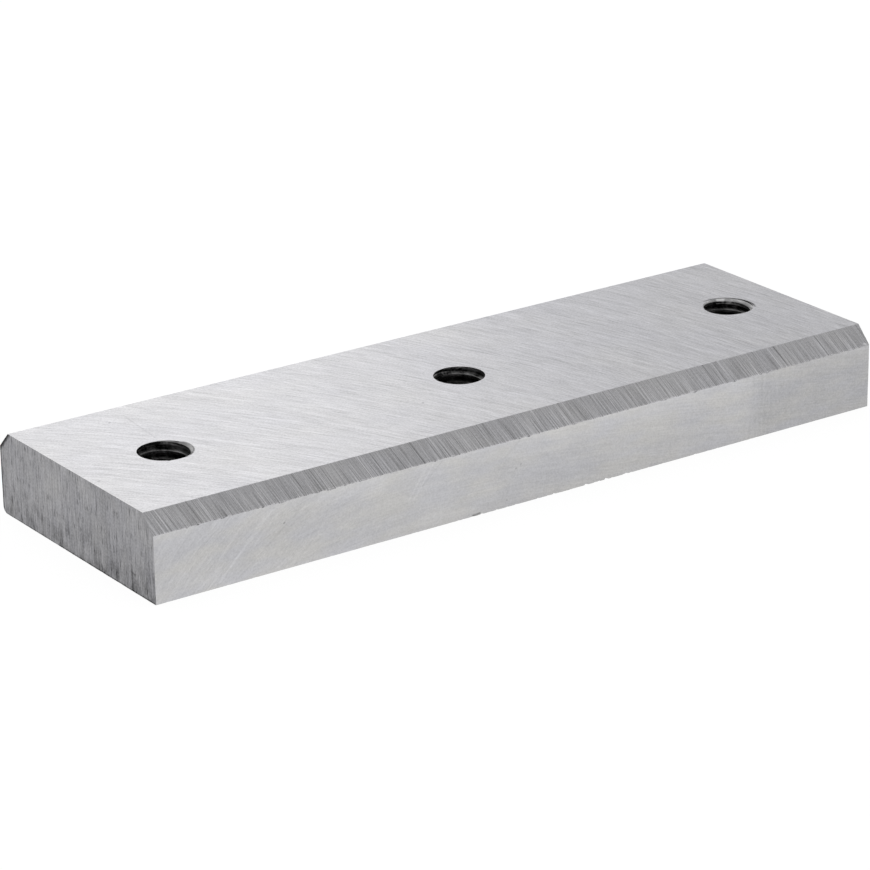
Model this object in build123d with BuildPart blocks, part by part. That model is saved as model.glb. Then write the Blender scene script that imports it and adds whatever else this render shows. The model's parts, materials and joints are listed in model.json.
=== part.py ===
# Chipper shredder blade.
# A thick ground steel bar, saw cut to length, with a 45 degree bevel along both long top edges
# and a row of tapped through holes. It is one piece of steel.
#
# The underside lies on Z = 0. X runs along the bar, Y from its front side to its back side.
# The origin is under the middle of the bar. All sizes are in millimetres.

import os

from build123d import *

# The bar
bar_length = 150.0
bar_width = 50.0
bar_thickness = 15.0

# The bevels, measured along the top face and down each long side
front_bevel_leg = 3.0
back_bevel_leg = 3.0

# The lower long edges, which are not bevelled, keep the rounding of the drawn bar
front_lower_radius = 0.2
back_lower_radius = 1.2

# The tapped holes, M10 x 1.5, drilled to the tapping size and right through the bar
thread_diameter = 10.0
thread_pitch = 1.5
hole_count = 3
first_hole_from_left_end = 17.0
last_hole_from_right_end = 13.0
hole_row_ahead_of_middle = 0.5

# Places that follow from the sizes above
tapping_radius = (thread_diameter - thread_pitch) / 2
first_hole_x = -bar_length / 2 + first_hole_from_left_end
last_hole_x = bar_length / 2 - last_hole_from_right_end
hole_row_middle_x = (first_hole_x + last_hole_x) / 2
hole_pitch = (last_hole_x - first_hole_x) / (hole_count - 1)

with BuildPart() as blade:
    # The bar's cross-section stands on the left end, with the sketch's X from front to back
    # and its Y upwards, and is drawn out along the bar
    with BuildSketch(Plane.YZ.offset(-bar_length / 2)) as section:
        Rectangle(bar_width, bar_thickness, align=(Align.CENTER, Align.MIN))
        top_front, top_back = section.vertices().group_by(Axis.Y)[-1].sort_by(Axis.X)
        chamfer(top_front, length=front_bevel_leg)
        chamfer(top_back, length=back_bevel_leg)
        low_front, low_back = section.vertices().group_by(Axis.Y)[0].sort_by(Axis.X)
        fillet(low_front, radius=front_lower_radius)
        fillet(low_back, radius=back_lower_radius)
    extrude(amount=bar_length)

    # The row of holes is drilled from the top face
    with Locations((hole_row_middle_x, -hole_row_ahead_of_middle, bar_thickness)):
        with GridLocations(hole_pitch, 0, hole_count, 1):
            Hole(radius=tapping_radius)

blade.part.label = "blade"

os.makedirs("parts", exist_ok=True)
export_step(blade.part, "parts/blade.step")
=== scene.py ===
import json
import math

import bpy
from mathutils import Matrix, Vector, noise


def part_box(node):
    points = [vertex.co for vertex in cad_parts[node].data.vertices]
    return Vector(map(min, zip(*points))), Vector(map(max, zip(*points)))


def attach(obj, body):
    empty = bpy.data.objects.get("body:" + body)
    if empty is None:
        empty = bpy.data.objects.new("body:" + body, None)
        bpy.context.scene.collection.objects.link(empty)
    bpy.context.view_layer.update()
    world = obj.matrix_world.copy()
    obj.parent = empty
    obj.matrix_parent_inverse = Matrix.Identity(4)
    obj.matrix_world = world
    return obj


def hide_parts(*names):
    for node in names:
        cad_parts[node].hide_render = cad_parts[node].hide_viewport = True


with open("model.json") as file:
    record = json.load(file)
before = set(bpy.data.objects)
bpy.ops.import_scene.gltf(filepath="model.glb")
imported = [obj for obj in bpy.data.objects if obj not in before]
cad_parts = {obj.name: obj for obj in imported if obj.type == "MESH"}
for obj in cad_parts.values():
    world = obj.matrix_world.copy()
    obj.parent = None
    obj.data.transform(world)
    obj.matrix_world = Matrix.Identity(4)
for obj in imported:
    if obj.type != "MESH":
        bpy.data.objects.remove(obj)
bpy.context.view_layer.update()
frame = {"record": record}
mm = 0.001


# The bar
# A length of flat tool steel with a 45 degree bevel along both long top edges. The lower edges
# keep the rounding of the drawn bar, which is larger at the back. The top and the underside are
# surface ground on a turning table.
bar_low, bar_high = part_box("blade")
bar_length = bar_high.x - bar_low.x
saw_allowance = 1.5 * mm
bevel_leg = 3.0 * mm
front_lower_radius = 0.2 * mm
back_lower_radius = 1.2 * mm
rounding_steps = 8

# Two places that are closer together than this count as one
touch = 0.01 * mm


def select_edges(piece, wanted):
    """Opens a piece in edit mode with only the edges selected whose two ends pass the test."""
    bpy.context.view_layer.objects.active = piece
    bpy.ops.object.mode_set(mode="EDIT")
    bpy.ops.mesh.select_mode(type="EDGE")
    bpy.ops.mesh.select_all(action="DESELECT")
    bpy.ops.object.mode_set(mode="OBJECT")
    for edge in piece.data.edges:
        one, other = (piece.data.vertices[index].co for index in edge.vertices)
        edge.select = wanted(one, other)
    bpy.ops.object.mode_set(mode="EDIT")


def bevel_selected(width, steps):
    """Bevels the bar's selected edges, flat with one step and round with more."""
    bpy.ops.mesh.bevel(
        offset_type="OFFSET", offset=width, segments=steps, affect="EDGES", clamp_overlap=False)
    bpy.ops.object.mode_set(mode="OBJECT")


def work_long_edge(y, z, width, steps):
    """Bevels or rounds the long edge of the bar that runs at that y and z."""
    def on_edge(point):
        return abs(point.y - y) < touch and abs(point.z - z) < touch

    select_edges(bar, lambda one, other: on_edge(one) and on_edge(other))
    bevel_selected(width, steps)


bpy.ops.object.select_all(action="DESELECT")
bpy.ops.mesh.primitive_cube_add(size=1, location=(bar_low + bar_high) / 2)
bar = bpy.context.object
bar.name = "ground_bar"
bar.scale = (bar_length + 2 * saw_allowance, bar_high.y - bar_low.y, bar_high.z - bar_low.z)
bpy.ops.object.transform_apply(location=True, rotation=True, scale=True)
work_long_edge(bar_low.y, bar_high.z, bevel_leg, 1)
work_long_edge(bar_high.y, bar_high.z, bevel_leg, 1)
work_long_edge(bar_low.y, bar_low.z, front_lower_radius, rounding_steps)
work_long_edge(bar_high.y, bar_low.z, back_lower_radius, rounding_steps)


def linear(hex_colour):
    """A colour as Blender counts it, from its sRGB hex value."""
    shares = [int(hex_colour[place:place + 2], 16) / 255 for place in (1, 3, 5)]
    return [share / 12.92 if share <= 0.04045 else ((share + 0.055) / 1.055) ** 2.4 for share in shares] + [1]


def new_material(name):
    """An empty material, which gets all of its nodes from the lines that follow."""
    material = bpy.data.materials.new(name)
    material.use_nodes = True
    material.node_tree.nodes.clear()
    return material


def add_node(owner, kind, inputs=(), **settings):
    """Adds a node with its settings, its inputs by name or in order, and gives its first output."""
    made = owner.node_tree.nodes.new("ShaderNode" + kind)
    for name, value in settings.items():
        setattr(made, name, value)
    for name, value in inputs.items() if isinstance(inputs, dict) else enumerate(inputs):
        if isinstance(value, bpy.types.NodeSocket):
            owner.node_tree.links.new(value, made.inputs[name])
        else:
            made.inputs[name].default_value = value
    return next((output for output in made.outputs if output.enabled), None)


def place_on_bar(material):
    """The place on the bar in millimetres, whole and as its x, y and z."""
    metres = add_node(material, "TexCoord").node.outputs["Object"]
    place = add_node(material, "VectorMath", {0: metres, "Scale": 1 / mm}, operation="SCALE")
    split = add_node(material, "SeparateXYZ", [place]).node
    return place, split.outputs["X"], split.outputs["Y"], split.outputs["Z"]


def scratches(material, across, along, width, length, seed, detail=2.0):
    """A pattern from 0 to 1, drawn out into scratches of that width and length in millimetres."""
    shortened = add_node(material, "Math", [along, width / length], operation="MULTIPLY")
    place = add_node(material, "CombineXYZ", [across, shortened, seed])
    return add_node(material, "TexNoise", {"Vector": place, "Scale": 1 / width, "Detail": detail})


def mark(material, place, start, end, width):
    """One scratch between two places in millimetres: 1 along its middle, 0 at that width from it."""
    line = Vector(end) - Vector(start)
    from_start = add_node(material, "VectorMath", [place, start], operation="SUBTRACT")
    line_per_length = line / line.length_squared
    share = add_node(material, "VectorMath", [from_start, line_per_length], operation="DOT_PRODUCT")
    share = add_node(material, "Clamp", [share])
    nearest = add_node(material, "VectorMath", {0: line, "Scale": share}, operation="SCALE")
    away = add_node(material, "VectorMath", [from_start, nearest], operation="DISTANCE")
    return add_node(material, "MapRange", {"Value": away, "From Max": width, "To Min": 1, "To Max": 0},
                    interpolation_type="SMOOTHSTEP")


def marks(material, place, face, listed):
    """Single marks on a face. Each is listed by its two ends there, half width and change of tone."""
    return [(mark(material, place, face(*start), face(*end), width), 0, share)
            for start, end, width, share in listed]


def burr(material, place, middle, radius, width, direction, spread):
    """A line round a hole's mouth, that many degrees to both sides of a direction: 1 along it."""
    from_middle = add_node(material, "VectorMath", [place, middle], operation="SUBTRACT")
    away = add_node(material, "VectorMath", [from_middle], operation="LENGTH")
    away = add_node(material, "Math", [away, radius], operation="SUBTRACT")
    away = add_node(material, "Math", [away], operation="ABSOLUTE")
    line = add_node(material, "MapRange", {"Value": away, "From Max": width, "To Min": 1, "To Max": 0})

    # The line fades out over the last 30 percent of its spread
    ahead = (math.cos(math.radians(direction)), math.sin(math.radians(direction)), 0)
    ahead = add_node(material, "VectorMath", [from_middle, ahead], operation="DOT_PRODUCT")
    ahead = add_node(material, "MapRange", {
        "Value": ahead,
        "From Min": radius * math.cos(math.radians(spread)),
        "From Max": radius * math.cos(math.radians(0.7 * spread))})
    return add_node(material, "Math", [line, ahead], operation="MULTIPLY")


def tone_from(material, patterns):
    """A tone about 1. Each pattern comes with its middle value and how far it changes the tone."""
    tone = 1.0 - sum(middle * share for pattern, middle, share in patterns)
    for pattern, middle, share in patterns:
        tone = add_node(material, "Math", [pattern, share, tone], operation="MULTIPLY_ADD")
    return tone


def bare_steel(material, cool, warm, warmth, tone, roughness, relief, relief_height):
    """Finishes a material as bare steel between two colours. The relief's height is in millimetres."""
    # The inputs 6 and 7 of a Mix node are its two colours
    colour = add_node(material, "Mix", {0: warmth, 6: linear(cool), 7: linear(warm)}, data_type="RGBA")
    darkest_tone = 0.03
    tone = add_node(material, "Math", [tone, darkest_tone], operation="MAXIMUM")
    shade = add_node(material, "VectorMath", {0: colour, "Scale": tone}, operation="SCALE")
    bump = add_node(material, "Bump", {"Height": relief, "Distance": relief_height * mm, "Strength": 1.0})
    shader = add_node(material, "BsdfPrincipled", {
        "Base Color": shade, "Metallic": 1.0, "Roughness": roughness, "Normal": bump})
    add_node(material, "OutputMaterial", {"Surface": shader})


def on_top(x, y):
    """A place on the top face in millimetres."""
    return x, y, bar_high.z / mm


# The holes' mouths get the painted shade of burrs in this finish, and their places come from the record's
# mounts
hole_places = {mount["name"]: Vector(mount["pos_m"]) for mount in frame["record"]["mounts"]}
left_hole, middle_hole, right_hole = (
    hole_places[name] for name in ("left_tapped_hole", "middle_tapped_hole", "right_tapped_hole"))

# Surface ground steel. The wheel has left long curved scratches that all come from one place in
# front of the bar. They give the eye a fine light and dark grain under one broad soft shine. The
# grit's own lines, some 0.05 mm wide, are too fine to show, so the finest are drawn 0.28 mm wide.
surface_ground = new_material("surface_ground_steel")

# The scratches start out from the wheel's middle, turn by the bend over each millimetre and have
# their drawn width at the wheel's reach, both of these also in millimetres
wheel_middle = (-49.0, -195.0)
wheel_bend = 0.0037
wheel_reach = 200.0
second_pass_slant = 0.12
cooler_to_the_right = -0.0022
place, x, y, z = place_on_bar(surface_ground)
from_x = add_node(surface_ground, "Math", [x, wheel_middle[0]], operation="SUBTRACT")
from_y = add_node(surface_ground, "Math", [y, wheel_middle[1]], operation="SUBTRACT")
flat_place = add_node(surface_ground, "CombineXYZ", [from_x, from_y])
reach = add_node(surface_ground, "VectorMath", [flat_place], operation="LENGTH")
turn = add_node(surface_ground, "Math", [from_y, from_x], operation="ARCTAN2")
bent = add_node(surface_ground, "Math", [reach, -wheel_bend, turn], operation="MULTIPLY_ADD")
across = add_node(surface_ground, "Math", [bent, wheel_reach], operation="MULTIPLY")
fine = scratches(surface_ground, across, reach, 0.28, 4, 1.5)
crossed = add_node(surface_ground, "Math", [reach, second_pass_slant, across], operation="MULTIPLY_ADD")
crossed = scratches(surface_ground, crossed, reach, 0.28, 3, 5.5)
middle = scratches(surface_ground, across, reach, 0.7, 9, 8.5)
broad = scratches(surface_ground, across, reach, 4, 50, 13.5)
grain = scratches(surface_ground, x, y, 0.32, 0.32, 21.5, detail=1.0)
cloud = scratches(surface_ground, x, y, 16, 16, 25.5)
warmth = add_node(surface_ground, "Math", [x, cooler_to_the_right, cloud], operation="MULTIPLY_ADD")
long_cuts = scratches(surface_ground, across, reach, 0.4, 9, 31.5, detail=0.5)
long_cuts = add_node(surface_ground, "MapRange", {"Value": long_cuts, "From Min": 0.66, "From Max": 0.78})
tone = tone_from(surface_ground, [
    (fine, 0.5, 0.49),
    (crossed, 0.5, 0.45),
    (middle, 0.5, 0.36),
    (broad, 0.5, 0.12),
    (grain, 0.5, 0.51),
    (cloud, 0.5, 0.06),
    (long_cuts, 0.03, -0.18),
    *marks(surface_ground, place, on_top, [
        # Bright scratches and a dark one
        ((-55.6, 8.3), (-44, -8), 0.5, 0.07),
        ((-41.6, 21.4), (-33, 9.5), 0.5, 0.06),
        ((-42.5, 5), (-31, -9), 0.5, 0.06),
        ((-10, 14.8), (-4.4, 0.8), 0.4, 0.05),
        ((-54.9, 18), (-56.1, 5), 0.3, -0.12),
        # Small pits
        ((-58.7, 16.2), (-58.5, 16.3), 0.35, -0.35),
        ((-73.7, -6), (-73.5, -5.9), 0.35, -0.35),
        ((-11, -8), (-10.8, -7.9), 0.35, -0.45),
        # Painted shade along the near rim of the left hole
        ((-59.8, -4.95), (-56.4, -5.05), 0.3, -0.9),
    ]),
    # Painted shade of the burrs round the left and the right hole
    (burr(surface_ground, place, on_top(left_hole.x / mm, left_hole.y / mm),
          radius=4.95, width=0.25, direction=-22, spread=50), 0, -0.9),
    (burr(surface_ground, place, on_top(right_hole.x / mm, right_hole.y / mm),
          radius=5.18, width=0.3, direction=35, spread=75), 0, -1.2),
])
roughness = add_node(surface_ground, "Math", [fine, 0.1, 0.31], operation="MULTIPLY_ADD")
relief = tone_from(surface_ground, [
    (fine, 0.5, 1.0), (crossed, 0.5, 0.8), (middle, 0.5, 0.8), (grain, 0.5, 0.6)])
bare_steel(surface_ground, "#d3d3d9", "#d5d4d4", warmth, tone, roughness, relief, 0.008)
bar.data.materials.append(surface_ground)


# The bevels
# Both long top edges are ground off at 45 degrees by a wheel that ran across them, a little
# aslant. Its scratches are short and straight, and their ends leave the lower edge ragged.
bevel_foot = bar_high.z - bevel_leg
scratch_slant = math.tan(math.radians(14))
bevel_slant = bevel_leg * math.sqrt(2) * scratch_slant

# Two rounds of 36 cuts give 1369 slices of 0.11 mm
slice_rounds = 2
slice_cuts = 36

# The scratches notch the top edge of a bevel by this share of what they do to its foot
head_share = 0.4

# The foot of each bevel falls by a thousandth towards the right end
foot_fall = 0.001

# A narrow strip at the foot is torn open. What lies within the reach belongs to the foot.
foot_strip = 0.05 * mm
foot_reach = 0.6 * mm
tear_depth = 0.4 * mm


def select_points(piece, wanted):
    """Opens a piece in edit mode with only the points selected that pass the test."""
    bpy.context.view_layer.objects.active = piece
    bpy.ops.object.mode_set(mode="EDIT")
    bpy.ops.mesh.select_mode(type="VERT")
    bpy.ops.mesh.select_all(action="DESELECT")
    bpy.ops.object.mode_set(mode="OBJECT")
    for point in piece.data.vertices:
        point.select = wanted(point.co)
    bpy.ops.object.mode_set(mode="EDIT")


def slice_long_edges(wanted):
    """Cuts the faces between long edges into narrow slices, along all edges that pass the test."""
    for round_number in range(slice_rounds):
        select_edges(bar, lambda one, other: abs(one.x - other.x) > touch and wanted(one) and wanted(other))
        bpy.ops.mesh.subdivide(number_cuts=slice_cuts)
        bpy.ops.object.mode_set(mode="OBJECT")


def scratch_depth(x, side):
    """How deep the bevel is cut by the scratch that starts at x on its top edge, in millimetres."""
    # Each pattern runs along its own row of the noise, and the two bevels have different rows
    fine = noise.noise(Vector((x / 0.3, 3.1, side)))
    group = noise.noise(Vector((x / 1.6, 7.7, side)))
    rare = max(0, noise.noise(Vector((x / 0.8, 11.3, side))) - 0.35)
    return 0.012 * fine + 0.014 * group + 0.10 * rare


def torn(x, seed):
    """How far the lower edge of a bevel is torn at x, from 0 to about 1."""
    small = noise.noise(Vector((x / 0.25, seed, 2.7)))
    large = noise.noise(Vector((x / 1.1, seed, 9.3)))
    return max(0, 0.3 * small + 0.05) + max(0, 1.2 * large - 0.2)


for side in (-1, 1):
    slice_long_edges(lambda point: point.y * side > 0 and min(
        abs(point.z - bar_high.z), abs(point.z - bevel_foot)) < touch)
select_points(bar, lambda point: abs(point.z - bevel_foot) < touch)
bpy.ops.transform.translate(value=(bevel_slant, 0, 0))
bpy.ops.object.mode_set(mode="OBJECT")
for point in bar.data.vertices:
    # A cut that is measured square to the bevel moves an edge by the root of two times as much
    side = math.copysign(1, point.co.y)
    on_top_edge = abs(abs(point.co.y) - bar_high.y + bevel_leg) < touch
    if abs(point.co.z - bevel_foot) < touch:
        point.co.z -= scratch_depth((point.co.x - bevel_slant) / mm, side) * math.sqrt(2) * mm
        point.co.z -= foot_fall * (point.co.x - bar_low.x)
    elif abs(point.co.z - bar_high.z) < touch and on_top_edge:
        point.co.y -= side * head_share * scratch_depth(point.co.x / mm, side) * math.sqrt(2) * mm

# A narrow strip along the foot of each bevel is torn open unevenly
select_edges(bar, lambda one, other: abs(one.x - other.x) > touch and max(
    abs(one.z - bevel_foot), abs(other.z - bevel_foot)) < foot_reach)
bevel_selected(foot_strip, 1)
for point in bar.data.vertices:
    on_side = abs(abs(point.co.y) - bar_high.y) < touch
    if on_side and abs(point.co.z - bevel_foot) < foot_reach:
        side = math.copysign(1, point.co.y)
        point.co.z -= tear_depth * torn(point.co.x / mm, 6.2 * side)


def select_faces(piece, wanted):
    """Opens a piece in edit mode with only the faces selected whose middle and normal pass the test."""
    bpy.context.view_layer.objects.active = piece
    bpy.ops.object.mode_set(mode="EDIT")
    bpy.ops.mesh.select_mode(type="FACE")
    bpy.ops.mesh.select_all(action="DESELECT")
    bpy.ops.object.mode_set(mode="OBJECT")
    for face in piece.data.polygons:
        face.select = wanted(face.center, face.normal)
    bpy.ops.object.mode_set(mode="EDIT")


def finish_faces(material, wanted):
    """Gives a material to all of the bar's faces whose middle and normal pass the test."""
    bar.data.materials.append(material)
    select_faces(bar, wanted)
    bar.active_material_index = len(bar.data.materials) - 1
    bpy.ops.object.material_slot_assign()
    bpy.ops.object.mode_set(mode="OBJECT")


def on_front_bevel(x, share):
    """A place on the front bevel in millimetres, that share of the way down the scratch from x."""
    inwards = bevel_leg * (1 - share)
    return x + share * bevel_slant / mm, (bar_low.y + inwards) / mm, (bevel_foot + inwards) / mm


# Cross ground steel. Light and dark lines lie side by side, all at the same slant, in loose
# groups, so that the bevels read as a darker ribbon beside the smooth top. The finest are drawn
# 0.15 mm wide, because the real ones of some 0.05 mm are too fine to show.
torn_foot_level = (bevel_foot + foot_fall * bar_low.x) / mm
bevel_lines = (
    (-72.9, 0.35), (-67.6, 0.35), (-67.0, -0.4), (-64.8, 0.35), (-43.5, -0.4), (-34.1, 0.35),
    (-27.5, -0.4), (-23.5, -0.4), (-19.7, 0.4), (-8.7, -0.4), (1.6, 0.35), (7.2, -0.35),
    (23.7, 0.3), (38.8, -0.45), (42.2, 0.35), (53.5, 0.45), (54.9, -0.35))
cross_ground = new_material("cross_ground_steel")
place, x, y, z = place_on_bar(cross_ground)
down = add_node(cross_ground, "Math", [z, -math.sqrt(2)], operation="MULTIPLY")
across = add_node(cross_ground, "Math", [down, -scratch_slant, x], operation="MULTIPLY_ADD")
fine = scratches(cross_ground, across, down, 0.15, 7, 1.5)
middle = scratches(cross_ground, across, down, 0.5, 16, 8.5)
group = scratches(cross_ground, across, down, 2.2, 40, 13.5)
grain = scratches(cross_ground, x, down, 0.25, 0.3, 21.5, detail=1.0)
cloud = scratches(cross_ground, x, down, 9, 9, 25.5)
light_cuts = scratches(cross_ground, across, down, 0.3, 12, 31.5, detail=0.5)
light_cuts = add_node(cross_ground, "MapRange", {"Value": light_cuts, "From Min": 0.64, "From Max": 0.76})
dark_cuts = scratches(cross_ground, across, down, 0.35, 9, 35.5, detail=0.5)
dark_cuts = add_node(cross_ground, "MapRange", {"Value": dark_cuts, "From Min": 0.64, "From Max": 0.76})
above_foot = add_node(cross_ground, "Math", [x, foot_fall, z], operation="MULTIPLY_ADD")
torn_foot = add_node(cross_ground, "MapRange", {
    "Value": above_foot,
    "From Min": torn_foot_level - 0.055,
    "From Max": torn_foot_level + 0.035,
    "To Min": 1,
    "To Max": 0})
tone = tone_from(cross_ground, [
    (fine, 0.5, 1.65),
    (middle, 0.5, 0.35),
    (group, 0.5, 0.2),
    (grain, 0.5, 0.55),
    (light_cuts, 0.05, 0.2),
    (dark_cuts, 0.05, -0.2),
    (torn_foot, 0, -0.46),
    # A painted glint in the corner at the right end
    *marks(cross_ground, place, on_front_bevel, [((72.91, 0.933), (73.38, 0.967), 0.35, 0.7)]),
    # Single light and dark lines across the front bevel
    *marks(cross_ground, place, on_front_bevel, [
        ((line_x, 0), (line_x, 1), 0.18, share) for line_x, share in bevel_lines]),
])
roughness = add_node(cross_ground, "Math", [fine, 0.1, 0.31], operation="MULTIPLY_ADD")
relief = tone_from(cross_ground, [
    (fine, 0.5, 1.0), (middle, 0.5, 1.0), (light_cuts, 0, 0.5), (dark_cuts, 0, -0.8)])
bare_steel(cross_ground, "#cfcfd4", "#d0cfcf", cloud, tone, roughness, relief, 0.010)
finish_faces(cross_ground, lambda middle, normal: normal.z < 0.95 and middle.z > bevel_foot - foot_reach)


# The long sides
# The sides are ground too, with a softer wheel. The lower front edge has small nicks and burrs
# from handling, mostly around the middle of the bar. Their places are in millimetres along it.
handled_middle = 8.0
handled_reach = 22.0
nick_length = 0.7
burr_places = (-12.2, 6.0, 7.2)
burr_reach = 0.5
slice_long_edges(lambda point: point.y < 0 and point.z < front_lower_radius + touch)
for point in bar.data.vertices:
    behind = point.co.y - bar_low.y
    if max(behind, point.co.z) < front_lower_radius + touch:
        # Each point keeps this share of its distance from the sharp corner: a nick has more of it
        # than the plain edge, and a burr has next to none
        along = point.co.x / mm
        handled = math.exp(-((along - handled_middle) / handled_reach) ** 2)
        nick = max(0, noise.noise(Vector((along / nick_length, 5.5, 1.5))) - 0.2)
        wear = 0.5 + 5 * nick * (0.2 + handled)
        for burr_place in burr_places:
            wear *= 1 - 0.85 * math.exp(-((along - burr_place) / burr_reach) ** 2)
        point.co.y = bar_low.y + wear * behind
        point.co.z *= wear


def on_front(x, z):
    """A place on the front side in millimetres."""
    return x, bar_low.y / mm, z


# Side ground steel. It is paler and softer than the bevels: a mottled grain, faint scratches
# that rise to the right near the left end and bend flat further on, warm and cool patches. The
# soft wheel's lines are finer still than the top's, and are drawn 0.25 to 0.3 mm wide.
rise_angle = math.radians(40)
rise = Vector((math.cos(rise_angle), 0, math.sin(rise_angle)))
rise_sway = 6.0
bend_length = 22.0
bend_start = -65.0
flat_slope = 0.15
side_ground = new_material("side_ground_steel")
place, x, y, z = place_on_bar(side_ground)
rising_across = add_node(side_ground, "VectorMath", [place, (-rise.z, 0, rise.x)], operation="DOT_PRODUCT")
rising_along = add_node(side_ground, "VectorMath", [place, rise], operation="DOT_PRODUCT")
sway = scratches(side_ground, x, z, 9, 9, 4.5)
rising_across = add_node(side_ground, "Math", [sway, rise_sway, rising_across], operation="MULTIPLY_ADD")
rising = scratches(side_ground, rising_across, rising_along, 0.3, 4, 1.5)
left_part = add_node(side_ground, "MapRange", {
    "Value": x, "From Min": -60, "From Max": -12, "To Min": 1, "To Max": 0},
    interpolation_type="SMOOTHSTEP")
rising = add_node(side_ground, "Math", [rising, 0.5], operation="SUBTRACT")
rising = add_node(side_ground, "Math", [rising, left_part], operation="MULTIPLY")
where_cut = add_node(side_ground, "MapRange", {
    "Value": sway, "From Min": 0.35, "From Max": 0.65, "To Min": 0.4, "To Max": 1.6})
rising = add_node(side_ground, "Math", [rising, where_cut], operation="MULTIPLY")
before_bend = add_node(
    side_ground, "Math", [x, -1 / bend_length, bend_start / bend_length], operation="MULTIPLY_ADD")
bend = add_node(side_ground, "Math", [before_bend], operation="EXPONENT")
sloped = add_node(side_ground, "Math", [x, flat_slope, z], operation="MULTIPLY_ADD")
across = add_node(side_ground, "Math", [bend, bend_length, sloped], operation="MULTIPLY_ADD")
fine = scratches(side_ground, across, x, 0.25, 6, 8.5)
middle = scratches(side_ground, across, x, 1.2, 20, 13.5)
grain = scratches(side_ground, x, z, 0.3, 0.3, 21.5, detail=1.0)
mottle = scratches(side_ground, x, z, 0.9, 0.9, 31.5, detail=1.0)
cloud = scratches(side_ground, x, z, 7, 14, 25.5)
patches = scratches(side_ground, z, x, 3, 9, 28.5)
warmth = add_node(side_ground, "MapRange", {"Value": patches, "From Min": 0.35, "From Max": 0.65})
pits = scratches(side_ground, x, z, 0.45, 0.45, 41.5, detail=0.0)
pits = add_node(side_ground, "MapRange", {"Value": pits, "From Min": 0.82, "From Max": 0.88})

# Painted light and shade on the side: lighter at its left foot and in the strip under the bevel,
# darker towards the bottom and at its right end, most at the top there
high_up = add_node(side_ground, "MapRange", {"Value": z, "From Min": 0, "From Max": 12})
low_down = add_node(side_ground, "Math", [1, high_up], operation="SUBTRACT")
under_bevel = add_node(side_ground, "MapRange", {"Value": z, "From Min": 8, "From Max": 12})
left_half = add_node(side_ground, "MapRange", {
    "Value": x, "From Min": -35, "From Max": 5, "To Min": 1, "To Max": 0},
    interpolation_type="SMOOTHSTEP")
left_foot = add_node(side_ground, "Math", [left_half, low_down], operation="MULTIPLY")
right_end = add_node(side_ground, "MapRange", {"Value": x, "From Min": 43, "From Max": 52},
                     interpolation_type="SMOOTHSTEP")
right_top = add_node(side_ground, "Math", [right_end, high_up], operation="MULTIPLY")

# Where the wheel was set down anew, its lines stand upright for a short way
before_end = add_node(side_ground, "MapRange", {
    "Value": x, "From Min": 50, "From Max": 60, "To Min": 1, "To Max": 0},
    interpolation_type="SMOOTHSTEP")
upright_part = add_node(side_ground, "Math", [right_end, before_end], operation="MULTIPLY")
upright = scratches(side_ground, x, z, 0.5, 6, 35.5, detail=1.0)
upright = add_node(side_ground, "Math", [upright, 0.5], operation="SUBTRACT")
upright = add_node(side_ground, "Math", [upright, upright_part], operation="MULTIPLY")
tone = tone_from(side_ground, [
    (rising, 0, 0.24),
    (fine, 0.5, 0.22),
    (middle, 0.5, 0.11),
    (grain, 0.5, 0.34),
    (mottle, 0.5, 0.07),
    (cloud, 0.5, 0.12),
    (patches, 0.5, 0.08),
    (pits, 0, -0.08),
    # Painted shade at the right end and towards the bottom, painted light at the left foot and under the
    # bevel
    (right_end, 0, -0.05),
    (right_top, 0, -0.12),
    (upright, 0, 0.2),
    (left_foot, 0, 0.14),
    (low_down, 0, -0.13),
    (under_bevel, 0, 0.085),
    *marks(side_ground, place, on_front, [
        # Pale patches
        ((-43, 10.5), (-31, 10.5), 2.5, 0.06),
        ((-66, 1.5), (-64, 2), 2.0, 0.05),
        # Light scratches
        ((-63.0, 0.9), (-54.3, 9.9), 0.35, 0.08),
        ((-63.5, 4.1), (-58.9, 9.2), 0.35, 0.08),
        ((-60.8, 3.1), (-52.5, 11.0), 0.35, 0.08),
        ((-57.6, 2.3), (-54.7, 4.5), 0.3, 0.06),
        ((-56.1, 5.9), (-50.5, 11.1), 0.35, 0.07),
        ((-26, 6), (-21.5, 12), 0.3, 0.07),
        ((-24.8, 6), (-20.3, 12), 0.3, 0.07),
        # Dark scratches
        ((-59, 1), (-47, 10), 0.3, -0.06),
        ((-23, 8), (-19, 11.5), 0.25, -0.08),
        ((-6, 9), (-3, 11.5), 0.25, -0.08),
        ((-7.4, 7.3), (-4.5, 7.0), 0.25, -0.07),
        # Dents, and painted shade on the flank of a burr on the lower edge
        ((-50.5, 8.1), (-50.3, 8.2), 0.24, -0.4),
        ((-3.9, 6.6), (-3.7, 6.6), 0.24, -0.25),
        ((-2.9, 7.1), (-2.7, 7.2), 0.24, -0.25),
        ((-5.8, 1.3), (-5.7, 1.3), 0.24, -0.25),
        ((-12.9, 0.2), (-11.4, 0.3), 0.3, -0.5),
    ]),
])
roughness = add_node(side_ground, "Math", [grain, 0.1, 0.35], operation="MULTIPLY_ADD")
relief = tone_from(side_ground, [(rising, 0, 1.0), (fine, 0.5, 1.0), (grain, 0.5, 0.8), (pits, 0, -2.0)])
bare_steel(side_ground, "#c2c2c5", "#c5c4c3", warmth, tone, roughness, relief, 0.006)

# The back side is one flat face, known by its normal: with all its points along the bevel's foot,
# its middle counts as higher than it is
finish_faces(side_ground, lambda middle, normal: abs(normal.y) > 0.9999 or (
    abs(normal.y) > 0.3 and middle.z < bevel_foot - foot_reach))


# The sawn ends
# The bar was sawn from a longer one. The saw leaves upright marks, slightly ragged edges and a
# thin burr where it came out of the steel, along the back edge. The lower edge gets a painted
# contact shadow.
saw_height = 20 * mm
saw_width = 60 * mm
saw_thickness = 4 * mm
step_along_marks = 0.8 * mm
step_across_marks = 0.2 * mm


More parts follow.
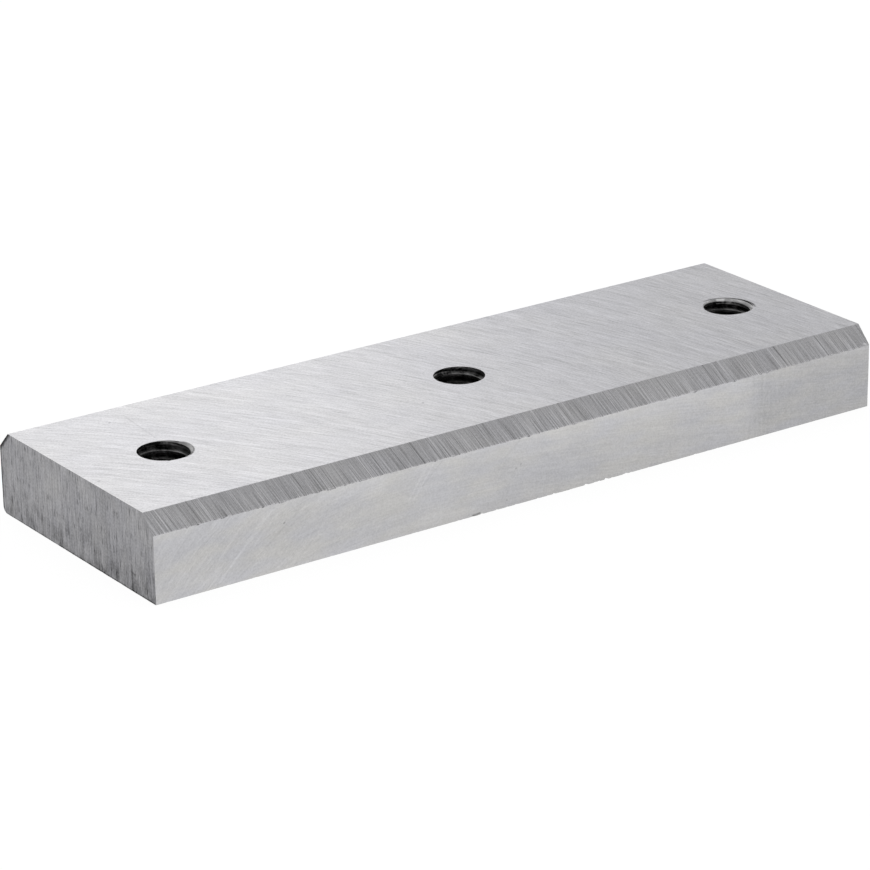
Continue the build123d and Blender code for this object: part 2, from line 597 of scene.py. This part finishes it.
def subtract(tool):
    """Cuts a tool's form out of the bar and removes the tool."""
    bpy.ops.object.select_all(action="DESELECT")
    bpy.context.view_layer.objects.active = bar
    cut = bar.modifiers.new("cut", "BOOLEAN")
    cut.operation = "DIFFERENCE"
    cut.solver = "MANIFOLD"
    cut.material_mode = "TRANSFER"
    cut.object = tool
    bpy.ops.object.modifier_apply(modifier=cut.name)
    bpy.data.objects.remove(tool)


def saw_mark(y, z, end):
    """How far the saw has cut into an end beyond the bar's length, in millimetres."""
    fine = noise.noise(Vector((y / 0.35, z / 5, 20 * end)))
    broad = noise.noise(Vector((y / 1.8, z / 16, 31 * end)))
    return max(0, 0.03 + 0.03 * fine + 0.03 * broad)


def saw_end(end):
    """Saws the bar at one end: -1 is the left end and 1 the right one."""
    bpy.ops.mesh.primitive_grid_add(
        x_subdivisions=round(saw_height / step_along_marks),
        y_subdivisions=round(saw_width / step_across_marks),
        size=1,
        location=(end * bar_high.x, 0, bar_high.z / 2),
        rotation=(0, end * math.radians(90), 0))
    saw = bpy.context.object
    saw.dimensions = (saw_height, saw_width, 0)
    bpy.ops.object.transform_apply(location=True, rotation=True, scale=True)
    for point in saw.data.vertices:
        point.co.x -= end * saw_mark(point.co.y / mm, point.co.z / mm, end) * mm
    bpy.ops.object.mode_set(mode="EDIT")
    bpy.ops.mesh.select_all(action="SELECT")
    bpy.ops.mesh.extrude_region_move(TRANSFORM_OT_translate={"value": (end * saw_thickness, 0, 0)})
    bpy.ops.mesh.select_all(action="SELECT")
    bpy.ops.mesh.normals_make_consistent(inside=False)
    bpy.ops.object.mode_set(mode="OBJECT")
    saw.data.materials.append(saw_cut)
    subtract(saw)


def on_left_end(y, z):
    """A place on the left end in millimetres."""
    return bar_low.x / mm, y, z


# Saw cut steel. Thin dark upright streaks with lighter ones between, dark patches that only show
# low down, the dark burr, and painted shade, a painted contact shadow and a painted highlight.
# A band saw's marks are 0.1 mm wide and less, so the finest are drawn 0.22 mm wide.
saw_cut = new_material("saw_cut_steel")
place, x, y, z = place_on_bar(saw_cut)
fine = scratches(saw_cut, y, z, 0.22, 4.5, 1.5)
streaks = scratches(saw_cut, y, z, 0.35, 60, 8.5, detail=1.0)
grain = scratches(saw_cut, y, z, 0.28, 0.4, 21.5, detail=1.0)
cloud = scratches(saw_cut, y, z, 4, 6, 25.5)
short_cuts = scratches(saw_cut, y, z, 0.24, 2.2, 35.5, detail=0.5)
short_cuts = add_node(saw_cut, "MapRange", {"Value": short_cuts, "From Min": 0.62, "From Max": 0.78})
low_down = add_node(saw_cut, "MapRange", {"Value": z, "From Min": 0, "From Max": 8, "To Min": 1, "To Max": 0})
low_dark_patches = scratches(saw_cut, y, z, 1.6, 2.4, 45.5)
low_dark_patches = add_node(saw_cut, "MapRange", {"Value": low_dark_patches, "From Min": 0.45, "From Max": 0.75})
low_dark_patches = add_node(saw_cut, "Math", [low_dark_patches, low_down], operation="MULTIPLY")
near_half = add_node(saw_cut, "MapRange", {
    "Value": y, "From Min": -8, "From Max": 2, "To Min": 1, "To Max": 0},
    interpolation_type="SMOOTHSTEP")
near_foot = add_node(saw_cut, "Math", [near_half, low_down], operation="MULTIPLY")
tone = tone_from(saw_cut, [
    (fine, 0.5, 1.15),
    (streaks, 0.5, 0.6),
    (grain, 0.5, 0.8),
    (cloud, 0.5, 0.3),
    (short_cuts, 0.05, -0.7),
    (low_dark_patches, 0.05, -0.45),
    # Painted shade: darker towards the bottom, in the near half and most at the near foot
    (low_down, 0.3, -0.1),
    (near_half, 0, -0.05),
    (near_foot, 0, -0.12),
    *marks(saw_cut, place, on_left_end, [
        # Single dark cuts and stains
        ((-17.8, 4.5), (-17.8, 0), 0.3, -0.5),
        ((-18.9, 3.2), (-17.8, 3.3), 0.3, -0.35),
        ((-11.5, 4.5), (-11.7, 2.5), 1.0, -0.2),
        ((3, 4.5), (3.2, 2.8), 1.1, -0.2),
        ((-1.5, 11.8), (-1.5, 10.8), 0.35, -0.4),
        ((-1.5, 8.2), (-1.5, 7.4), 0.35, -0.4),
        # The burr down the back bevel and down the back edge, and a painted contact shadow along the lower
        # edge
        ((22, 15), (25, 12), 0.9, -1.3),
        ((25, 12), (25, 1), 0.6, -1.0),
        ((25, 12), (25, 5), 3.0, -0.14),
        ((24, 0), (8, 0), 0.35, -0.5),
        ((6, 0), (-24.5, 0), 0.4, -0.65),
        # A painted highlight up the front edge
        ((-25, 0), (-25, 12), 1.0, 0.15),
    ]),
])
roughness = add_node(saw_cut, "Math", [grain, 0.1, 0.45], operation="MULTIPLY_ADD")
relief = tone_from(saw_cut, [(fine, 0.5, 1.0), (streaks, 0.5, 0.8), (grain, 0.5, 0.5), (short_cuts, 0, -1.0)])
# The end's darker colour is partly the duller sawn steel and partly painted shade
bare_steel(saw_cut, "#98989d", "#9a9999", cloud, tone, roughness, relief, 0.020)
saw_end(-1)
saw_end(1)


# The tapped holes
# Three through holes are drilled at 8.5 mm and tapped M10 x 1.5, with no countersink, so the
# thread's last turn runs out through the top face and leaves a crescent there.
thread_pitch = 1.5 * mm
drilled_radius = 4.25 * mm
thread_radius = 5.0 * mm
thread_root = thread_pitch / 8
thread_flank = (thread_radius - drilled_radius) * math.tan(math.radians(30))
thread_turns = 14
turns_below_top = 12
turn_steps = 60


def in_hole(x, y, z):
    """A place on the wall of a hole in millimetres."""
    return x, y, z


# Tapped steel. The crescent at the mouth, where the thread's flanks face up, is painted bright as
# lit, nearly as bright as the top, and the thread below it is painted dark as shaded and patchy,
# with lines from the tap round it and painted highlights on its crests. The tap's lines are drawn
# 0.4 mm wide, because real ones wouldn't show.
tapped = new_material("tapped_steel")
hole_spacing = (middle_hole.x - left_hole.x) / mm
place, x, y, z = place_on_bar(tapped)
grain = scratches(tapped, x, z, 0.4, 0.4, 1.5)
oil = scratches(tapped, x, z, 1.4, 1.0, 4.5)
round_wall = add_node(tapped, "Math", [x, y])
tap_lines = scratches(tapped, z, round_wall, 0.4, 3, 8.5)
at_mouth = add_node(tapped, "MapRange", {"Value": z, "From Min": 13.9, "From Max": 14.7},
                    interpolation_type="SMOOTHSTEP")
normal = add_node(tapped, "TexCoord").node.outputs["Normal"]
upwards = add_node(tapped, "SeparateXYZ", [normal]).node.outputs["Z"]
upwards = add_node(tapped, "MapRange", {"Value": upwards, "From Min": 0.2, "From Max": 0.45})
open_flank = add_node(tapped, "Math", [at_mouth, upwards], operation="MULTIPLY")
from_left_hole = add_node(tapped, "Math", [x, left_hole.x / mm], operation="SUBTRACT")
from_nearest_hole = add_node(
    tapped, "Math", [from_left_hole, hole_spacing / 2, -hole_spacing / 2], operation="WRAP")
from_row = add_node(tapped, "Math", [y, left_hole.y / mm], operation="SUBTRACT")
outwards = add_node(tapped, "CombineXYZ", [from_nearest_hole, from_row])
outwards = add_node(tapped, "VectorMath", [outwards], operation="LENGTH")
# A painted highlight on the thread's crests
crest = add_node(tapped, "MapRange", {
    "Value": outwards,
    "From Min": drilled_radius / mm + 0.05,
    "From Max": drilled_radius / mm + 0.2,
    "To Min": 1,
    "To Max": 0})
# Painted light on the upward flanks at the mouth and painted shade on the rest of the thread
tone = tone_from(tapped, [
    (grain, 0.5, 1.4),
    (oil, 0.5, 1.6),
    (tap_lines, 0.5, 1.4),
    (open_flank, 0.7, 0.95),
    (crest, 0.1, 0.3),
    *marks(tapped, place, in_hole, [
        # The left hole: painted shade on its first turn with painted glints, and a painted highlight on a
        # crest below
        ((-60.5, 3.2, 14.5), (-56.7, 3.9, 14.5), 0.7, -0.5),
        ((-58.2, 4.1, 13.7), (-57.2, 4.1, 13.7), 0.7, 0.8),
        ((-57.6, 4.1, 12.1), (-55.3, 3.3, 12.0), 0.4, 1.5),
        ((-54.4, 2.6, 13.9), (-53.7, 1.3, 13.7), 0.9, 0.9),
        # The middle hole: painted shade at its mouth
        ((0.4, 4.2, 13.7), (3.4, 4, 13.6), 1.0, -0.25),
        ((-0.8, 3.1, 14.1), (0.8, 3.9, 14.0), 0.7, -0.5),
        ((4.2, 3.3, 13.8), (6.5, 0.3, 13.6), 0.8, -0.45),
        # The right hole: painted glints round its wide crescent and on a crest below, and a patch of painted
        # shade
        ((61, 4.1, 13.4), (66, 2, 13.2), 0.8, 0.8),
        ((60.4, 4.15, 14.9), (61.3, 4.25, 14.9), 0.4, 1.2),
        ((63.5, 4.1, 14.8), (64.5, 3.6, 14.8), 0.5, 1.5),
        ((65.3, 2.9, 14.8), (66.3, 1.6, 14.8), 0.7, -0.25),
    ]),
])
bare_steel(tapped, "#9e9ea0", "#a09f9e", oil, tone, 0.35, grain, 0.010)


def tap_hole(place, run_out_angle, share_at_top, mouth_radius, mouth_lean):
    """Cuts one tapped hole. Its groove meets the top face at that angle, with that share of its depth.

    The mouth opens out to its own radius, and by the lean more on that side and less on the other.
    """
    half_root = thread_root / 2
    middle = thread_pitch / 2
    profile = [
        (drilled_radius, 0),
        (drilled_radius, middle - half_root - thread_flank),
        (thread_radius, middle - half_root),
        (thread_radius, middle + half_root),
        (drilled_radius, middle + half_root + thread_flank),
        (drilled_radius, thread_pitch),
    ]
    bpy.ops.object.select_all(action="DESELECT")
    bpy.ops.mesh.primitive_plane_add(size=mm)
    tap = bpy.context.object
    bpy.ops.object.mode_set(mode="EDIT")
    bpy.ops.mesh.select_mode(type="VERT")
    bpy.ops.mesh.select_all(action="SELECT")
    bpy.ops.mesh.merge(type="CENTER")
    bpy.ops.transform.translate(value=(profile[0][0], 0, profile[0][1]))
    for (old_radius, old_height), (radius, height) in zip(profile, profile[1:]):
        step = (radius - old_radius, 0, height - old_height)
        bpy.ops.mesh.extrude_vertices_move(TRANSFORM_OT_translate={"value": step})
    bpy.ops.object.mode_set(mode="OBJECT")
    screw = tap.modifiers.new("thread", "SCREW")
    screw.axis = "Z"
    screw.angle = math.radians(360)
    screw.screw_offset = thread_pitch
    screw.iterations = thread_turns
    screw.steps = turn_steps
    screw.render_steps = turn_steps
    bpy.ops.object.modifier_apply(modifier=screw.name)

    # The turns are merged, and the ends are closed beyond the bar's faces
    bpy.ops.object.mode_set(mode="EDIT")
    bpy.ops.mesh.select_all(action="SELECT")
    bpy.ops.mesh.remove_doubles(threshold=0.001 * mm)
    for start in (0, thread_turns * thread_pitch):
        ridge = [Vector((radius, 0, start + height)) for radius, height in profile[1:-1]]
        select_points(tap, lambda point: any((point - corner).length < touch for corner in ridge))
        bpy.ops.mesh.edge_face_add()
    bpy.ops.mesh.select_all(action="SELECT")
    bpy.ops.mesh.fill_holes(sides=0)
    bpy.ops.object.mode_set(mode="OBJECT")
    select_faces(tap, lambda middle, normal: abs(normal.z) > 0.95)
    bpy.ops.mesh.poke()
    bpy.ops.mesh.select_all(action="SELECT")
    bpy.ops.mesh.normals_make_consistent(inside=False)
    bpy.ops.object.mode_set(mode="OBJECT")

    # In the last turn up to the top face the crests open out, and the groove may be shallower
    top_face = turns_below_top * thread_pitch + middle
    for point in tap.data.vertices:
        radius = point.co.xy.length
        nearness = 1 + min(0, point.co.z - top_face) / thread_pitch
        if radius > touch and nearness > 0:
            mouth = mouth_radius + mouth_lean * point.co.x / radius
            cut = (radius - drilled_radius) * (1 + (share_at_top - 1) * nearness)
            point.co.xy *= (drilled_radius + max(cut, (mouth - drilled_radius) * nearness)) / radius

    # Half a step of the turn keeps every point of the thread clear of the bar's faces
    half_step = thread_pitch / turn_steps / 2
    tap.rotation_euler.z = run_out_angle
    tap.location = (place.x, place.y, bar_high.z - middle - turns_below_top * thread_pitch + half_step)
    bpy.ops.object.transform_apply(location=True, rotation=True, scale=True)
    tap.data.materials.append(tapped)
    subtract(tap)


tap_hole(left_hole, math.radians(-30), share_at_top=0.88, mouth_radius=4.56 * mm, mouth_lean=0)
tap_hole(middle_hole, math.radians(-120), share_at_top=0.42, mouth_radius=4.53 * mm, mouth_lean=0)
tap_hole(right_hole, math.radians(28), share_at_top=1.1, mouth_radius=4.33 * mm, mouth_lean=0.36 * mm)


# The finished bar
# It is one piece of steel. Its large ground faces keep a flat shine right up to their edges, and
# only the small slices of its lower roundings and of the threads are shaded as round.
round_below = math.radians(15)
bpy.ops.object.select_all(action="DESELECT")
bar.select_set(True)
bpy.context.view_layer.objects.active = bar
bpy.ops.object.shade_smooth_by_angle(angle=round_below)
weighted = bar.modifiers.new("flat faces keep flat", "WEIGHTED_NORMAL")
weighted.keep_sharp = True
bpy.ops.object.modifier_apply(modifier=weighted.name)
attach(bar, "root")
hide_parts("blade")


# The floor
# A sheet of white card that the bar lies on, large enough to fill every view. What the eye and
# the steel see of it is lifted to the clean white of the picture, with no more light on the bar.
card_size = 8
card_share = 0.15
card_lift = 0.925
bpy.ops.object.select_all(action="DESELECT")
bpy.ops.mesh.primitive_plane_add(size=card_size, location=(0, 0, bar_low.z))
floor = bpy.context.object
floor.name = "white_card"

# White card. It is matt and keeps the bar's soft shadow.
card = new_material("white_card")
path = add_node(card, "LightPath").node.outputs
seen = add_node(card, "Math", [path["Is Camera Ray"], path["Is Glossy Ray"]], operation="MAXIMUM")
seen = add_node(card, "Math", [seen, path["Is Transmission Ray"]], operation="MAXIMUM")
glow_level = add_node(card, "Math", [seen, card_lift], operation="MULTIPLY")
glow = add_node(card, "Emission", {"Strength": glow_level})
paper = add_node(card, "BsdfDiffuse", {"Color": [card_share] * 3 + [1]})
add_node(card, "OutputMaterial", {"Surface": add_node(card, "AddShader", [glow, paper])})
floor.data.materials.append(card)


# The light
# A pale room that is lighter low down than overhead, a large soft lamp behind the bar, which gives
# the top its bright left half, and one overhead, which lights the card round the bar.
room_low_down = 1.0
room_overhead = 0.57
world = bpy.data.worlds.new("pale_room")
world.use_nodes = True
world.node_tree.nodes.clear()
bpy.context.scene.world = world
direction = add_node(world, "TexCoord").node.outputs["Generated"]
height = add_node(world, "SeparateXYZ", [direction]).node.outputs["Z"]
level = add_node(world, "MapRange", {
    "Value": height, "From Min": 0.1, "From Max": 0.8, "To Min": room_low_down, "To Max": room_overhead},
    interpolation_type="SMOOTHSTEP")
add_node(world, "OutputWorld", {"Surface": add_node(world, "Background", {"Strength": level})})


def soft_lamp(name, place, size, power):
    """A rectangular lamp that isn't seen itself, pointed at the bar."""
    bpy.ops.object.light_add(type="AREA", location=place)
    lamp = bpy.context.object
    lamp.name = name
    lamp.data.shape = "RECTANGLE"
    lamp.data.size, lamp.data.size_y = size
    lamp.data.energy = power
    lamp.rotation_euler = (-Vector(place)).to_track_quat("-Z", "Y").to_euler()
    lamp.visible_camera = False


soft_lamp("lamp_behind", place=(0.17, 0.85, 0.45), size=(0.8, 0.6), power=0.9)
soft_lamp("lamp_overhead", place=(-0.15, 0.3, 1.25), size=(0.9, 0.9), power=1.2)


# The camera
# It stands where the photograph was taken from, in front of the bar, to its left and above it.
bpy.ops.object.camera_add(
    location=(-0.34788, -0.49664, 0.23540),
    rotation=(math.radians(69.128), math.radians(0.832), math.radians(-35.095)))
camera = bpy.context.object
camera.data.lens = 153.48
camera.data.sensor_width = 36
bpy.context.scene.camera = camera
bpy.context.scene.view_settings.view_transform = "Standard"
